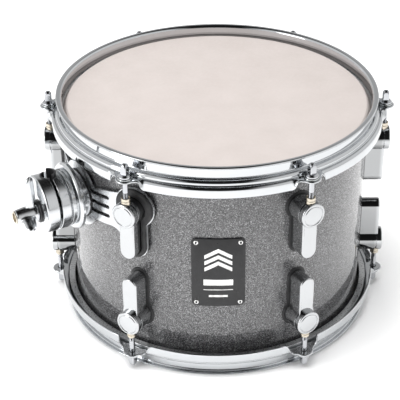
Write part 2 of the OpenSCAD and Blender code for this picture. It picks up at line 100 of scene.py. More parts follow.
# ---- Angles about Z ----
LUG_ANGLES = [60 * k for k in range(6)]
CLAMP_A = 210
HUNG_ANGLES = [CLAMP_A - 30, CLAMP_A + 30]
BADGE_A = 270
VENT_A = 90

IDENTITY = Matrix.Identity(4)
TO_LOWER_HEAD = Matrix.Translation((0, 0, DRUM_H)) @ Matrix.Diagonal((1, 1, -1, 1))


def turned_by(angle):
    return Matrix.Rotation(radians(angle), 4, "Z")


AT_CLAMP = turned_by(CLAMP_A)

# ---- Camera ----
VIEW_AZIMUTH = radians(-0.41)
VIEW_ELEVATION = radians(30.92)
VIEW_DISTANCE = 1.3185
VIEW_TARGET = Vector((0, 0, 0.118))
SENSOR_MM = 36
LENS_MM = 112.885
SHIFT = (-0.0429, -0.0277)


def add_camera():
    data = bpy.data.cameras.new("camera")
    camera = bpy.data.objects.new("camera", data)
    bpy.context.scene.collection.objects.link(camera)
    towards = Vector((
        sin(VIEW_AZIMUTH) * cos(VIEW_ELEVATION),
        -cos(VIEW_AZIMUTH) * cos(VIEW_ELEVATION),
        sin(VIEW_ELEVATION),
    ))
    camera.location = VIEW_TARGET + towards * VIEW_DISTANCE
    camera.rotation_euler = (-towards).to_track_quat("-Z", "Y").to_euler()
    data.sensor_width = SENSOR_MM
    data.lens = LENS_MM
    data.shift_x, data.shift_y = SHIFT
    bpy.context.scene.camera = camera


add_camera()


# ---- Outlines ----

def arc(cx, cy, r, a0, a1, steps=8):
    """Points on an arc, from angle a0 to a1 in degrees."""
    angles = [radians(a0 + (a1 - a0) * i / steps) for i in range(steps + 1)]
    return [(cx + r * cos(a), cy + r * sin(a)) for a in angles]


def rounded(points, steps=4):
    """A closed outline of (x, y, radius) corners, with each corner turned into an arc."""
    outline = []
    for i, (x, y, r) in enumerate(points):
        corner = Vector((x, y))
        before = Vector(points[i - 1][:2]) - corner
        after = Vector(points[(i + 1) % len(points)][:2]) - corner
        half = before.angle(after) / 2
        if r <= 0 or half > radians(89):
            outline.append((x, y))
            continue
        reach = min(r / tan(half), 0.49 * before.length, 0.49 * after.length)
        radius = reach * tan(half)
        centre = corner + (before.normalized() + after.normalized()).normalized() * radius / sin(half)
        start = corner + before.normalized() * reach - centre
        end = corner + after.normalized() * reach - centre
        a0 = atan2(start.y, start.x)
        sweep = (atan2(end.y, end.x) - a0 + pi) % (2 * pi) - pi
        for k in range(steps + 1):
            a = a0 + sweep * k / steps
            outline.append((centre.x + radius * cos(a), centre.y + radius * sin(a)))
    return outline


def smooth_step(low, high, value):
    t = min(1, max(0, (value - low) / (high - low)))
    return t * t * (3 - 2 * t)


def mix(a, b, t):
    return a + (b - a) * t


# ---- Meshes: each shape is (vertices, faces) ----

def turned(profile, axis="z", centre=0, steps=64):
    """Solid turned from a closed profile of (radius, distance along the axis)."""
    verts, rows = [], []
    for r, h in profile:
        count = 1 if r < 1e-6 else steps
        rows.append(range(len(verts), len(verts) + count))
        for i in range(count):
            u, v = r * cos(2 * pi * i / steps), r * sin(2 * pi * i / steps)
            verts.append((u, v, h) if axis == "z" else (h, u, centre + v))
    faces = []
    for one, two in zip(rows, rows[1:] + rows[:1]):
        for i in range(steps):
            j = (i + 1) % steps
            corners = (one[i % len(one)], one[j % len(one)], two[j % len(two)], two[i % len(two)])
            face = list(dict.fromkeys(corners))
            if len(face) > 2:
                faces.append(face)
    return verts, faces


def loft(rings, cyclic=False):
    """Skin over closed rings of equal length, with flat ends unless it is cyclic."""
    n = len(rings[0])
    verts = [point for ring in rings for point in ring]
    faces = []
    for i in range(len(rings) if cyclic else len(rings) - 1):
        k = (i + 1) % len(rings)
        faces += [(i * n + j, i * n + (j + 1) % n, k * n + (j + 1) % n, k * n + j) for j in range(n)]
    if not cyclic:
        faces += [tuple(range(n)), tuple(range((len(rings) - 1) * n, len(rings) * n))]
    return verts, faces


def moved(shape, matrix):
    return [tuple(matrix @ Vector(v)) for v in shape[0]], shape[1]


def build(name, shapes, place=IDENTITY, sharp=32):
    """Object in metres, shaded smooth except across edges sharper than the given angle."""
    mesh = bmesh.new()
    for verts, faces in shapes:
        made = [mesh.verts.new((place @ Vector(v)) * MM) for v in verts]
        for face in faces:
            mesh.faces.new([made[i] for i in face])
    bmesh.ops.recalc_face_normals(mesh, faces=mesh.faces)
    data = bpy.data.meshes.new(name)
    mesh.to_mesh(data)
    mesh.free()
    piece = bpy.data.objects.new(name, data)
    bpy.context.scene.collection.objects.link(piece)
    shade(piece, sharp)
    return piece


def shade(piece, sharp=32):
    mesh = bmesh.new()
    mesh.from_mesh(piece.data)
    for face in mesh.faces:
        face.smooth = True
    for edge in mesh.edges:
        edge.smooth = len(edge.link_faces) == 2 and edge.calc_face_angle() < radians(sharp)
    mesh.to_mesh(piece.data)
    mesh.free()


def bake_modifiers(piece):
    shown = piece.evaluated_get(bpy.context.evaluated_depsgraph_get())
    data = bpy.data.meshes.new_from_object(shown)
    piece.modifiers.clear()
    piece.data = data
    return piece


def combine(piece, others, operation):
    """Cuts, joins or intersects a piece with other pieces, which are used up."""
    for other in others:
        step = piece.modifiers.new("combine", "BOOLEAN")
        step.object = other
        step.operation = operation
        step.solver = "EXACT"
        bake_modifiers(piece)
        bpy.data.objects.remove(other)
    return piece


def cut(piece, *shapes, place=IDENTITY):
    return combine(piece, [build("cutter", [shape], place) for shape in shapes], "DIFFERENCE")


def post(r, low, high, axis="z", centre=0, steps=32):
    """Plain round post, used as a cutter."""
    return turned([(0, low), (r, low), (r, high), (0, high)], axis, centre, steps)


def even_normals(piece):
    step = piece.modifiers.new("normals", "WEIGHTED_NORMAL")
    step.keep_sharp = True
    return piece


# ---- Materials ----

class Finish:
    """A Principled material whose sockets are driven by procedural textures in object space."""

    def __init__(self, name, colour, metallic=0.0, roughness=0.5, **sockets):
        self.material = bpy.data.materials.new(name)
        self.material.use_nodes = True
        self.tree = self.material.node_tree
        self.shader = self.tree.nodes["Principled BSDF"]
        self.shader.inputs["Base Color"].default_value = (*colour, 1)
        self.shader.inputs["Metallic"].default_value = metallic
        self.shader.inputs["Roughness"].default_value = roughness
        for socket, value in sockets.items():
            self.shader.inputs[socket.replace("_", " ")].default_value = value
        self.place = self.tree.nodes.new("ShaderNodeTexCoord").outputs["Object"]

    def node(self, kind, inputs=(), **settings):
        made = self.tree.nodes.new("ShaderNode" + kind)
        for key, value in settings.items():
            setattr(made, key, value)
        for key, value in dict(inputs).items():
            if isinstance(value, bpy.types.NodeSocket):
                self.tree.links.new(value, made.inputs[key])
            else:
                made.inputs[key].default_value = value
        return made

    def drive(self, socket, value):
        self.tree.links.new(value, self.shader.inputs[socket])

    def stretched(self, scale):
        return self.node("Mapping", {"Vector": self.place, "Scale": scale}).outputs["Vector"]

    def noise(self, size_mm, detail=2, place=None):
        settings = {"Vector": place or self.place, "Scale": 1 / (size_mm * MM), "Detail": detail}
        return self.node("TexNoise", settings).outputs["Fac"]

    def ranged(self, value, low, high, from_low=0.3, from_high=0.7):
        inputs = {"Value": value, "From Min": from_low, "From Max": from_high, "To Min": low, "To Max": high}
        return self.node("MapRange", inputs).outputs["Result"]

    def ramp(self, value, stops):
        made = self.node("ValToRGB", {"Fac": value})
        elements = made.color_ramp.elements
        while len(elements) < len(stops):
            elements.new(1)
        for element, (position, colour) in zip(elements, stops):
            element.position = position
            element.color = (*colour, 1)
        return made.outputs["Color"]

    def bump(self, height, depth_mm, strength=1.0, normal=None):
        inputs = {"Height": height, "Distance": depth_mm * MM, "Strength": strength}
        if normal:
            inputs["Normal"] = normal
        return self.node("Bump", inputs).outputs["Normal"]


def chrome_finish(name, colour, low, high, grain_mm, depth_mm):
    """Plated metal: bright, with faint cloudy wear in its gloss and a trace of unevenness below it."""
    finish = Finish(name, colour, metallic=1.0, roughness=low)
    finish.drive("Roughness", finish.ranged(finish.noise(9, 3), low, high))
    tint = finish.noise(40, 2)
    warm = [c * 0.97 for c in colour]
    finish.drive("Base Color", finish.ramp(tint, [(0.3, warm), (0.7, colour)]))
    finish.drive("Normal", finish.bump(finish.noise(grain_mm, 2), depth_mm))
    return finish.material


def lug_painted_shade_material():
    """Cast chrome with painted shade: bright on its front, and painted darker on its side walls by distance from the
    drum's axis, as a painted reflection of the shell and gasket.
    """
    finish = Finish("lug_painted_shade_chrome", (0.62, 0.635, 0.65), metallic=1.0, roughness=0.06)
    # Painted shade mask: set by distance from the drum's axis, 0 on the lug's side walls and 1 on its front.
    flat = finish.node("VectorMath", {0: finish.place, 1: (1, 1, 0)}, operation="MULTIPLY").outputs["Vector"]
    reach = finish.node("VectorMath", {0: flat}, operation="LENGTH").outputs["Value"]
    front = finish.ranged(reach, 0, 1, (TAIL_FRONT - 4) * MM, (TAIL_FRONT - 1.2) * MM)
    cloud = finish.ranged(finish.noise(9, 3), 0.94, 1.0)
    level = finish.node("Math", {0: front, 1: cloud}, operation="MULTIPLY").outputs["Value"]
    # Base colour: the darker stop is painted shade on the side walls, and the faint cloud is real tone.
    finish.drive("Base Color", finish.ramp(level, [(0.0, (0.36, 0.365, 0.37)), (1.0, (0.54, 0.55, 0.56))]))
    finish.drive("Roughness", finish.ranged(finish.noise(12, 3), 0.05, 0.10))
    finish.drive("Normal", finish.bump(finish.noise(12, 2), 0.02))
    return finish.material


def sparkle_finish():
    """Silver flakes, each with its own brightness and tilt, in dark lacquer under a clear gloss coat."""
    finish = Finish("sparkle_lacquer", (0.08, 0.08, 0.085), metallic=0.35, roughness=0.36,
                    Coat_Weight=1.0, Coat_Roughness=0.025, Coat_IOR=1.55)
    layers = []
    for size in (0.45, 0.7):
        cells = finish.node("TexVoronoi", {"Vector": finish.place, "Scale": 1 / (size * MM)})
        layers.append(finish.node("SeparateColor", {"Color": cells.outputs["Color"]}))
        tilt = cells.outputs["Color"]
    dark = [(0.0, (0.010,) * 3), (0.45, (0.026,) * 3), (0.68, (0.09, 0.09, 0.094)),
            (0.86, (0.25, 0.25, 0.26)), (1.0, (0.68, 0.68, 0.70))]
    fine = finish.ramp(layers[0].outputs["Red"], dark)
    coarse = finish.ramp(layers[1].outputs["Green"], dark)
    both = finish.node("MixRGB", {"Fac": 0.5, "Color1": fine, "Color2": coarse}).outputs["Color"]
    finish.drive("Base Color", both)
    middle = finish.node("VectorMath", {0: tilt, 1: (0.5, 0.5, 0.5)}, operation="SUBTRACT").outputs["Vector"]
    lean = finish.node("VectorMath", {0: middle, "Scale": 0.55}, operation="SCALE").outputs["Vector"]
    surface = finish.node("NewGeometry").outputs["Normal"]
    leant = finish.node("VectorMath", {0: surface, 1: lean}, operation="ADD").outputs["Vector"]
    finish.drive("Normal", finish.node("VectorMath", {0: leant}, operation="NORMALIZE").outputs["Vector"])
    return finish.material


def maple_finish():
    """Maple ply: grain that runs round the inside, with thin ply lines where the edges are cut."""
    finish = Finish("maple_ply", (0.62, 0.42, 0.24), roughness=0.42, Coat_Weight=0.25, Coat_Roughness=0.2)
    axes = finish.node("SeparateXYZ", {"Vector": finish.place})
    x, y, z = (axes.outputs[k] for k in "XYZ")
    around = finish.node("Math", {0: y, 1: x}, operation="ARCTAN2").outputs["Value"]
    along = finish.node("Math", {0: around, 1: SHELL_R * MM}, operation="MULTIPLY").outputs["Value"]
    square = finish.node("Math", {0: x, 1: x}, operation="MULTIPLY").outputs["Value"]
    reach = finish.node("Math", {0: y, 1: y, 2: square}, operation="MULTIPLY_ADD").outputs["Value"]
    radius = finish.node("Math", {0: reach}, operation="SQRT").outputs["Value"]
    flat = finish.node("CombineXYZ", {"X": along, "Y": z, "Z": radius}).outputs["Vector"]
    grain = finish.node("Mapping", {"Vector": flat, "Scale": (12, 330, 1100)}).outputs["Vector"]
    figure = finish.node("TexNoise", {"Vector": grain, "Scale": 1, "Detail": 5, "Distortion": 0.6})
    wood = finish.ramp(figure.outputs["Fac"], [(0.25, (0.46, 0.28, 0.14)), (0.5, (0.62, 0.41, 0.23)),
                                               (0.75, (0.74, 0.53, 0.33))])
    finish.drive("Base Color", wood)
    finish.drive("Normal", finish.bump(figure.outputs["Fac"], 0.05, 0.5))
    return finish.material


def coated_finish():
    """Sprayed coating on a drum film: matt, very slightly grainy and uneven."""
    finish = Finish("coated_film", (0.41, 0.37, 0.35), roughness=0.62)
    shade_of = finish.noise(26, 4)
    finish.drive("Base Color", finish.ramp(shade_of, [(0.3, (0.40, 0.36, 0.342)), (0.7, (0.424, 0.384, 0.366))]))
    finish.drive("Roughness", finish.ranged(finish.noise(3, 3), 0.5, 0.68))
    finish.drive("Normal", finish.bump(finish.noise(0.5, 3), 0.03, 0.6))
    return finish.material


def clear_finish():
    finish = Finish("clear_film", (0.96, 0.97, 0.97), roughness=0.05, Transmission_Weight=0.92, IOR=1.45)
    finish.drive("Roughness", finish.ranged(finish.noise(14, 3), 0.03, 0.12))
    finish.drive("Normal", finish.bump(finish.noise(60, 1), 0.2, 0.3))
    return finish.material


def moulded_finish(name, colour, roughness, grain_mm, depth_mm):
    """Rubber or nylon with a fine moulded grain and duller, dustier patches."""
    finish = Finish(name, colour, roughness=roughness)
    worn = [c * 1.7 + 0.004 for c in colour]
    finish.drive("Base Color", finish.ramp(finish.noise(7, 4), [(0.35, colour), (0.8, worn)]))
    finish.drive("Roughness", finish.ranged(finish.noise(2.5, 3), roughness - 0.07, roughness + 0.1))
    finish.drive("Normal", finish.bump(finish.noise(grain_mm, 3), depth_mm, 0.7))
    return finish.material


def metal_finish(name, colour, roughness, grain_mm, stretch=(1, 1, 1)):
    """Turned, brushed or plated metal: fine lines where the texture is stretched."""
    finish = Finish(name, colour, metallic=1.0, roughness=roughness)
    lines = finish.noise(grain_mm, 3, finish.stretched(stretch))
    darker = [c * 0.86 for c in colour]
    finish.drive("Base Color", finish.ramp(lines, [(0.3, darker), (0.7, colour)]))
    finish.drive("Roughness", finish.ranged(lines, roughness - 0.06, roughness + 0.1))
    finish.drive("Normal", finish.bump(lines, 0.02, 0.5))
    return finish.material


MATERIALS = {
    "sparkle_maple": sparkle_finish(),
    "coated_film": coated_finish(),
    "clear_film": clear_finish(),
    "chrome": chrome_finish("chrome", (0.60, 0.615, 0.63), 0.03, 0.07, 30, 0.02),
    "chrome_cast": chrome_finish("chrome_cast", (0.64, 0.655, 0.67), 0.15, 0.21, 12, 0.02),
    "rod_steel": chrome_finish("rod_steel", (0.50, 0.51, 0.53), 0.07, 0.16, 6, 0.02),
    "washer_steel": chrome_finish("washer_steel", (0.54, 0.56, 0.56), 0.16, 0.28, 4, 0.02),
    "zinc_steel": metal_finish("zinc_steel", (0.62, 0.63, 0.64), 0.32, 3),
    "channel_aluminium": metal_finish("channel_aluminium", (0.76, 0.77, 0.78), 0.3, 2, (1, 1, 12)),
    "nut_brass": metal_finish("nut_brass", (0.66, 0.60, 0.50), 0.22, 2, (1, 1, 14)),
    "rubber_black": moulded_finish("rubber_black", (0.012, 0.012, 0.013), 0.5, 0.5, 0.05),
    "nylon_black": moulded_finish("nylon_black", (0.014, 0.014, 0.015), 0.36, 0.9, 0.03),
    "badge_black": moulded_finish("badge_black", (0.006, 0.006, 0.007), 0.33, 0.6, 0.02),
    "eyelet_nickel": metal_finish("eyelet_nickel", (0.78, 0.78, 0.77), 0.2, 2),
}
MAPLE = maple_finish()
# Lug chrome with painted shade on its side walls.
LUG_PAINTED_SHADE_CHROME = lug_painted_shade_material()
PLATE_CHROME = chrome_finish("plate_chrome", (0.66, 0.675, 0.69), 0.24, 0.32, 12, 0.02)
PRINT = moulded_finish("badge_print", (0.78, 0.78, 0.77), 0.4, 0.6, 0.01)

BODY_OF = {n: body for body, nodes in frame["record"]["behaviour"]["bodies"].items() for n in nodes}
SLOT_OF = {part["node"]: part["material_slot"] for part in frame["record"]["subparts"]}


def stand_for(piece, node, finishes=()):
    """The piece takes the place of a CAD node: its body, its material slot and its finish."""
    for finish in finishes or [MATERIALS[SLOT_OF[node]]]:
        piece.data.materials.append(finish)
    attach(piece, BODY_OF[node])
    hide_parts(node)
    return piece


def carry(node):
    """A CAD node that stays, with its slot's finish."""
    data = frame["nodes"][node].data
    data.materials.clear()
    data.materials.append(MATERIALS[SLOT_OF[node]])


# ---- Shell ----
INNER_R = SHELL_R - 6
EDGE_R = 150.2
FILM_D = 10.25


def add_shell():
    cut_d = FILM_D + EDGE_R - 0.5 - INNER_R
    side_d = FILM_D + SHELL_R - EDGE_R
    upper = [(INNER_R, cut_d, 0.6), (EDGE_R - 0.5, FILM_D, 0.4), (EDGE_R, FILM_D, 0.4), (SHELL_R, side_d, 1.2)]
    profile = rounded([(r, DRUM_H - d, f) for r, d, f in upper] + [(r, d, f) for r, d, f in upper[::-1]])
    shell = build("lacquered_shell", [turned(profile, steps=288)])
    cut(shell, post(6, INNER_R - 3, SHELL_R + 3, "x", DRUM_H / 2), place=turned_by(VENT_A))
    shade(shell)
    stand_for(shell, "shell", [MATERIALS["sparkle_maple"], MAPLE])
    for face in shell.data.polygons:
        middle = face.center / MM
        outside = hypot(middle.x, middle.y) > SHELL_R - 0.35 and abs(face.normal.z) < 0.35
        face.material_index = 0 if outside else 1


def add_vent_grommet():
    profile = rounded([
        (5, INNER_R - 1, 0.3), (8.5, INNER_R - 1, 0.3), (8.5, INNER_R - 0.2, 0), (5.95, INNER_R - 0.2, 0),
        (5.95, SHELL_R + 0.2, 0), (10, SHELL_R + 0.2, 0.2), (9.6, SHELL_R + 1.3, 0.5),
        (7, SHELL_R + 2.2, 0.8), (5, SHELL_R + 1.6, 0.8),
    ])
    grommet = build("vent_grommet_ring", [turned(profile, "x", DRUM_H / 2)], turned_by(VENT_A))
    stand_for(grommet, "vent_grommet")


# ---- Badge ----
BADGE_W = BADGE_HIGH.x - BADGE_LOW.x
BADGE_Z = (BADGE_HIGH.z + BADGE_LOW.z) / 2
RIVET_INSET = 4.5


def flat_piece(name, shapes):
    """Closed solids in millimetres, laid out flat for wrap(), as one object."""
    mesh = bmesh.new()
    for verts, faces in shapes:
        made = [mesh.verts.new(v) for v in verts]
        for face in faces:
            mesh.faces.new([made[i] for i in face])
    bmesh.ops.recalc_face_normals(mesh, faces=mesh.faces)
    data = bpy.data.meshes.new(name)
    mesh.to_mesh(data)
    mesh.free()
    piece = bpy.data.objects.new(name, data)
    bpy.context.scene.collection.objects.link(piece)
    return piece


def plate(outline, low, high):
    """Flat plate between two radii, from its outline of (sideways, height)."""
    return loft([[(r, y, z) for y, z in outline] for r in (low, high)])


def sheet_round_shell(name, outlines, r_in, r_out, edge, step=3):
    """Plates cut from flat outlines, wrapped round the drum and softened at the rim."""
    return wrap(flat_piece(name, [plate(outline, r_in, r_out) for outline in outlines]), edge, step)


def wrap(piece, edge, step=3):
    """Rounds the edges of a flat plate in millimetres, slices it upright and bends it round the drum."""
    if edge:
        rim = piece.modifiers.new("rim", "BEVEL")
        rim.width = edge
        rim.segments = 2
        rim.limit_method = "ANGLE"
        rim.angle_limit = radians(50)
        bake_modifiers(piece)
    mesh = bmesh.new()
    mesh.from_mesh(piece.data)
    reach = max(abs(v.co.y) for v in mesh.verts)
    for i in range(-int(reach / step), int(reach / step) + 1):
        parts = mesh.verts[:] + mesh.edges[:] + mesh.faces[:]
        bmesh.ops.bisect_plane(mesh, geom=parts, plane_co=(0, i * step + 0.01, 0), plane_no=(0, 1, 0))
    for v in mesh.verts:
        r, y, z = v.co
        side = asin(max(-1, min(1, y / SHELL_R)))
        v.co = Vector((r * cos(side), r * sin(side), z)) * MM
    mesh.to_mesh(piece.data)
    mesh.free()
    shade(piece, 40)
    return piece


def placed(piece, matrix):
    """Moves the piece's mesh, so that its object stays at the origin."""
    metres = matrix.copy()
    metres.translation *= MM
    piece.data.transform(metres)
    return piece


def rectangle(y0, z0, y1, z1, r=0.3):
    return rounded([(y0, z0, r), (y1, z0, r), (y1, z1, r), (y0, z1, r)])


def chevron(z, half_w, rise, thick):
    """A plain roof-shaped bar with its point upwards."""
    return rounded([
        (-half_w, z, 0.3), (0, z + rise, 0.5), (half_w, z, 0.3),
        (half_w, z + thick, 0.3), (0, z + rise + thick, 0.5), (-half_w, z + thick, 0.3),
    ])


def add_badge():
    corners = rectangle(-BADGE_W / 2, BADGE_LOW.z, BADGE_W / 2, BADGE_HIGH.z, 5)
    plate = sheet_round_shell("badge_plate", [corners], SHELL_R, SHELL_R + 1.6, 0.5, 1.5)
    emblem = [chevron(BADGE_Z + rise, 13, 7.5, 4.2) for rise in (2, 9, 16)]
    emblem.append(rectangle(-14, BADGE_Z - 14, 14, BADGE_Z - 7.5))
    emblem.append(rectangle(-14, BADGE_Z - 19.5, 14, BADGE_Z - 18.8, 0.1))
    emblem.append(rectangle(-9, BADGE_Z - 27.5, 9, BADGE_Z - 25.3))
    marks = sheet_round_shell("badge_marks", emblem, SHELL_R + 1.3, SHELL_R + 1.85, 0, 1.5)
    for piece in (plate, marks):
        placed(piece, turned_by(BADGE_A))
    stand_for(plate, "badge")
    marks.data.materials.append(PRINT)
    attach(marks, BODY_OF["badge"])


def add_badge_rivets():
    half = BADGE_W / 2 - RIVET_INSET
    face_r = SHELL_R + 1.6
    profile = rounded([(1.0, 0.6, 0.2), (1.15, -1.2, 0), (1.6, -1.2, 0), (2.5, 0, 0.2), (2.1, 0.75, 0.35),
                       (1.4, 0.85, 0.3)])
    rivets = []
    for y in (-half, half):
        turn = turned_by(degrees(asin(y / face_r))) @ Matrix.Translation((face_r, 0, 0))
        for z in (BADGE_LOW.z + RIVET_INSET, BADGE_HIGH.z - RIVET_INSET):
            rivets.append(moved(turned(profile, "x", z, 32), turn))
    stand_for(build("badge_eyelets", rivets, turned_by(BADGE_A)), "badge_rivets")


# ---- Heads and hoops ----
FLESH_R = 154
HOOP_WALL_R = 156.5
POCKET_R = 161.8
FLANGE_R = 163.6
SHEET_HALF = 1
LIP_R = 160.5
EAR_D = DRUM_H - EAR_Z + SHEET_HALF
SKIRT_END_D = 28
FOLD_LEN = 3.6
EAR_TIP_R = 9
EAR_FLAT = 11.5
EAR_FOLD = 19.5


def ear_reach(s):
    """Radius of the ear's rim at s millimetres from the rod, along the rod circle."""
    s = abs(s)
    corner_s = EAR_TIP_R * sin(radians(70))
    corner_r = ROD_R + EAR_TIP_R * cos(radians(70))
    if s < corner_s:
        return ROD_R + sqrt(EAR_TIP_R ** 2 - s ** 2)
    return mix(corner_r, POCKET_R + 4, (s - corner_s) / (17 - corner_s))


def hoop_line(s):
    """Middle of the hoop's sheet, as (radius, depth below the rim): a skirt between ears, flat at a rod."""
    fold = smooth_step(EAR_FLAT, EAR_FOLD, abs(s))
    turn = max(1e-4, fold * pi / 2)
    skirt_len = FOLD_LEN + SKIRT_END_D - EAR_D - FOLD_LEN * 2 / pi
    reach = mix(max(FOLD_LEN + 0.5, ear_reach(s) - SHEET_HALF - FLANGE_R), skirt_len, fold)
    line = [(LIP_R, 1), (159.4, 1)] + arc(158.5, 3, 2, 270, 180, 6)
    line += [(HOOP_WALL_R, 6), (HOOP_WALL_R, 9)] + arc(158.5, 12, 2, 180, 90, 6)
    line += arc(159.4, 16.4, 2.4, 270, 360, 8)
    line += arc(FLANGE_R, EAR_D - 1.8, 1.8, 180, 90, 6)
    bend_r = FOLD_LEN / turn
    for i in range(1, 9):
        a = turn * i / 8
        line.append((FLANGE_R + bend_r * sin(a), EAR_D + bend_r * (1 - cos(a))))
    r, d = line[-1]
    for i in range(1, 6):
        far = (reach - FOLD_LEN) * i / 5
        line.append((r + far * cos(turn), d + far * sin(turn)))
    return line


def hoop_section(s):
    """Closed outline of the sheet, with round edges, as (radius, depth)."""
    line = [Vector(p) for p in hoop_line(s)]
    sides = []
    for i, point in enumerate(line):
        along = (line[min(i + 1, len(line) - 1)] - line[max(i - 1, 0)]).normalized()
        sides.append((point, Vector((along.y, -along.x)) * SHEET_HALF))
    left = [p + side for p, side in sides]
    right = [p - side for p, side in sides]

    (tip, tip_side), (rim, rim_side) = sides[0], sides[-1]
    turns = [pi * k / 4 for k in (1, 2, 3)]
    end = [rim + rim_side * cos(a) + Vector((-rim_side.y, rim_side.x)) * sin(a) for a in turns]
    start = [tip - tip_side * cos(a) + Vector((tip_side.y, -tip_side.x)) * sin(a) for a in turns]
    return left + end + right[::-1] + start


def hoop_stations():
    """Angles round the hoop, with their distance from the nearest rod: close together at the ears."""
    half = radians(30) * ROD_R
    near, far = EAR_FOLD + 2.5, half
    steps = [near * i / 30 for i in range(31)] + [mix(near, far, i / 24) for i in range(1, 24)]
    offsets = [-s for s in steps[:0:-1]] + steps + [half]
    return [(lug + degrees(s / ROD_R), s) for lug in LUG_ANGLES for s in offsets]


def add_hoop(node, place):
    rings = []
    for angle, s in hoop_stations():
        a = radians(angle)
        rings.append([(r * cos(a), r * sin(a), DRUM_H - d) for r, d in hoop_section(s)])
    hoop = build(node + "_steel", [loft(rings, cyclic=True)])
    holes = [moved(post(3.6, EAR_Z - 6, EAR_Z + 4), Matrix.Translation((ROD_R, 0, 0)))]
    for angle in LUG_ANGLES:
        cut(hoop, *holes, place=turned_by(angle))
    placed(hoop, place)
    if place != IDENTITY:
        hoop.data.flip_normals()
    shade(hoop, 50)
    stand_for(hoop, node)


def add_film(node, place):
    t = 0.25
    top = [(EDGE_R - 0.2, 10, 1.0), (151.85, 11.6, 0.6), (151.85, 12.6, 0.6), (FLESH_R, 16.5, 0.5), (FLESH_R, 21, 0)]
    under = [(r - t, d + t * (i < 2), f) for i, (r, d, f) in enumerate(top)]
    corners = [(0, 10, 0)] + top + under[::-1] + [(0, 10 + t, 0)]
    profile = rounded([(r, DRUM_H - d, f) for r, d, f in corners])
    stand_for(build(node + "_skin", [turned(profile, steps=240)], place), node)


def add_flesh_hoop(node, place):
    corners = [(FLESH_R + 1.5, 15, 0.5), (160.2, 15, 0.6), (160.2, 22, 0.5), (FLESH_R, 22, 0.4), (FLESH_R, 16.6, 0.4)]
    profile = rounded([(r, DRUM_H - d, f) for r, d, f in corners])
    stand_for(build(node + "_channel", [turned(profile, steps=200)], place), node)


# ---- Tension rods ----
SHAFT_R = 2.75
THREAD_PITCH = 1.06
THREAD_TOP = NUT_TOP + 6
HEAD_HALF = 3.175
HEAD_CORNER = 0.7


def thread(r, low, high, steps=20):
    """Helical thread as one closed skin, its crests at radius r."""
    per_turn = 4
    count = int((high - low) / THREAD_PITCH * per_turn)
    depth = [0, 0.28, 0.55, 0.28]
    rings = []
    for i in range(count + 1):
        z = low + (high - low) * i / count
        ring = []
        for j in range(steps):
            phase = (i / per_turn - j / steps) % 1 * per_turn
            k = int(phase)
            root = mix(depth[k], depth[(k + 1) % per_turn], phase - k)
            reach = r - root - 0.9 * max(0, 1 - i / 3)
            ring.append((reach * cos(2 * pi * j / steps), reach * sin(2 * pi * j / steps), z))
        rings.append(ring)
    return loft(rings)


def square_ring(half, corner, z):
    outline = rounded([(half, half, corner), (-half, half, corner), (-half, -half, corner), (half, -half, corner)], 5)
    return [(x, y, z) for x, y in outline]


def add_rod(node, angle, place):
    collar = rounded([
        (0, WASHER_TOP, 0), (6.4, WASHER_TOP, 0.4), (6.4, WASHER_TOP + 1.6, 0.6), (4.6, WASHER_TOP + 3.3, 1.0),
        (0, WASHER_TOP + 3.5, 0),
    ])
    neck = WASHER_TOP + 2.5
    dome = [(0, 1), (0.25, 1), (0.62, 1), (0.8, 0.965), (0.9, 0.87), (0.965, 0.68), (0.995, 0.42), (1, 0.15)]
    head = []
    for rise, scale in dome:
        corner = HEAD_CORNER + (HEAD_HALF * scale - HEAD_CORNER) * smooth_step(0.62, 1, rise) * 0.85
        head.append(square_ring(HEAD_HALF * scale, max(0.05, corner), mix(neck, ROD_TOP, rise)))
    shaft = turned([(0, THREAD_TOP - 1), (SHAFT_R - 0.5, THREAD_TOP - 1), (SHAFT_R, THREAD_TOP), (SHAFT_R, neck),
                    (0, neck)], steps=32)
    shapes = [turned(collar, steps=48), loft(head), shaft, thread(SHAFT_R, ROD_END, THREAD_TOP)]
    spot = place @ turned_by(angle) @ Matrix.Translation((ROD_R, 0, 0))
    stand_for(even_normals(build(node + "_screw", shapes, spot, 40)), node)


def add_rod_washers(node, place):
    profile = rounded([(3.3, EAR_Z, 0.2), (7.2, EAR_Z, 0.3), (7.2, WASHER_TOP, 0.5), (3.3, WASHER_TOP, 0.3)])
    one = turned(profile, steps=48)
    spots = [turned_by(angle) @ Matrix.Translation((ROD_R, 0, 0)) for angle in LUG_ANGLES]
    stand_for(build(node + "_set", [moved(one, spot) for spot in spots], place), node)


# ---- Lugs ----
SEAM_X = TAIL_FRONT - 2.2
ARC_STEPS = 44
SIDE_STEPS = 6
END_STEPS = 20


def keyhole(r, half_w):
    """Round boss above a straight tail with a round end, as (sideways, height, 1 on the tail).
    The same steps are used at every size, so two keyholes can be joined point to point."""
    foot = degrees(asin(min(0.98, half_w / r)))
    points = [(y, BOSS_Z + z, 0) for y, z in arc(0, 0, r, -90 + foot, 270 - foot, ARC_STEPS)]
    top_z = BOSS_Z - r * cos(radians(foot))
    low_z = BOSS_Z - TAIL_C
    points += [(-half_w, mix(top_z, low_z, k / SIDE_STEPS), 1) for k in range(1, SIDE_STEPS)]
    points += [(y, low_z + z, 1) for y, z in arc(0, 0, half_w, 180, 360, END_STEPS)]
    points += [(half_w, mix(low_z, top_z, k / SIDE_STEPS), 1) for k in range(1, SIDE_STEPS)]
    return points


def round_drum(radius, y):
    return sqrt(radius ** 2 - y ** 2)


